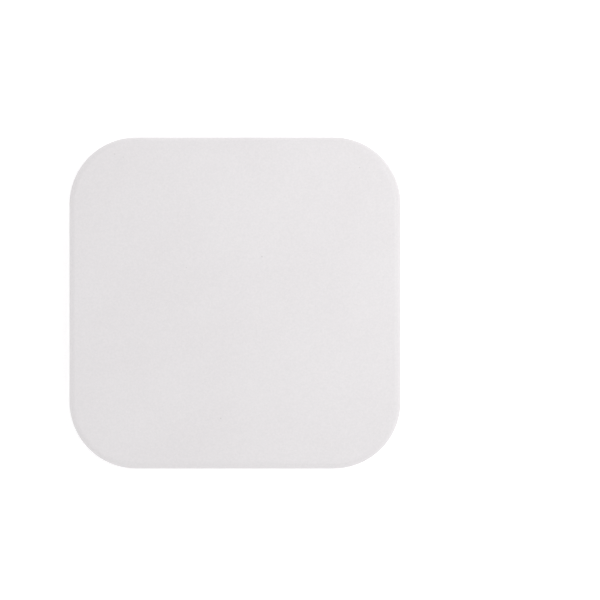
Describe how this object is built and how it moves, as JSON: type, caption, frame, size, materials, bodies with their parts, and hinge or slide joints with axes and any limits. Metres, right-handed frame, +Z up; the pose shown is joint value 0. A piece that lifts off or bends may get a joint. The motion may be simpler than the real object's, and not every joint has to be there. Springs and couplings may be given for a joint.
{
  "type": "wireless charging pad",
  "caption": "Flat square wireless charging pad with round corners, a plain charging face, a micro socket at the rear, a status light window at the front and round rubber feet.",
  "frame": {"origin": "on the table plane, under the middle of the pad", "axes": "+Z up, out of the charging face; +Y towards the rear wall with the power socket; +X to the right, seen from the front"},
  "size_m": [0.0604, 0.0604, 0.0082],
  "materials": {
    "shell_plastic": "satin",
    "window_plastic": "gloss",
    "foot_rubber": "matte",
    "screw_steel": "satin",
    "adhesive_film": "satin",
    "coil_copper": "satin",
    "ferrite": "matte",
    "foam": "matte",
    "circuit_board": "satin",
    "socket_steel": "satin",
    "black_plastic": "satin",
    "contact_gilt": "gloss",
    "chip_ceramic": "satin",
    "capacitor_yellow": "satin",
    "led_white": "satin"
  },
  "bodies": {
    "root": {"top_cover": "shell_plastic", "base_cover": "shell_plastic", "light_pipe": "window_plastic", "foot_rear_right": "foot_rubber", "foot_rear_left": "foot_rubber", "foot_front_left": "foot_rubber", "foot_front_right": "foot_rubber", "case_screw_rear_right": "screw_steel", "case_screw_rear_left": "screw_steel", "case_screw_front_left": "screw_steel", "case_screw_front_right": "screw_steel", "adhesive_disc": "adhesive_film", "coil_winding": "coil_copper", "ferrite_shield": "ferrite", "foam_ring": "foam", "main_board": "circuit_board", "usb_shell": "socket_steel", "usb_tongue": "black_plastic", "usb_contact_1": "contact_gilt", "usb_contact_2": "contact_gilt", "usb_contact_3": "contact_gilt", "usb_contact_4": "contact_gilt", "usb_contact_5": "contact_gilt", "controller_ic": "black_plastic", "gate_driver_ic": "black_plastic", "crystal": "socket_steel", "bridge_mosfet_1": "black_plastic", "bridge_mosfet_2": "black_plastic", "voltage_regulator": "black_plastic", "surge_diode": "black_plastic", "power_inductor": "ferrite", "bulk_capacitor": "capacitor_yellow", "sense_resistor": "black_plastic", "thermistor": "black_plastic", "led_resistor": "black_plastic", "status_led": "led_white", "resonant_capacitor_1": "chip_ceramic", "resonant_capacitor_2": "chip_ceramic", "resonant_capacitor_3": "chip_ceramic", "resonant_capacitor_4": "chip_ceramic", "input_capacitor_1": "chip_ceramic", "input_capacitor_2": "chip_ceramic"}
  },
  "joints": []
}
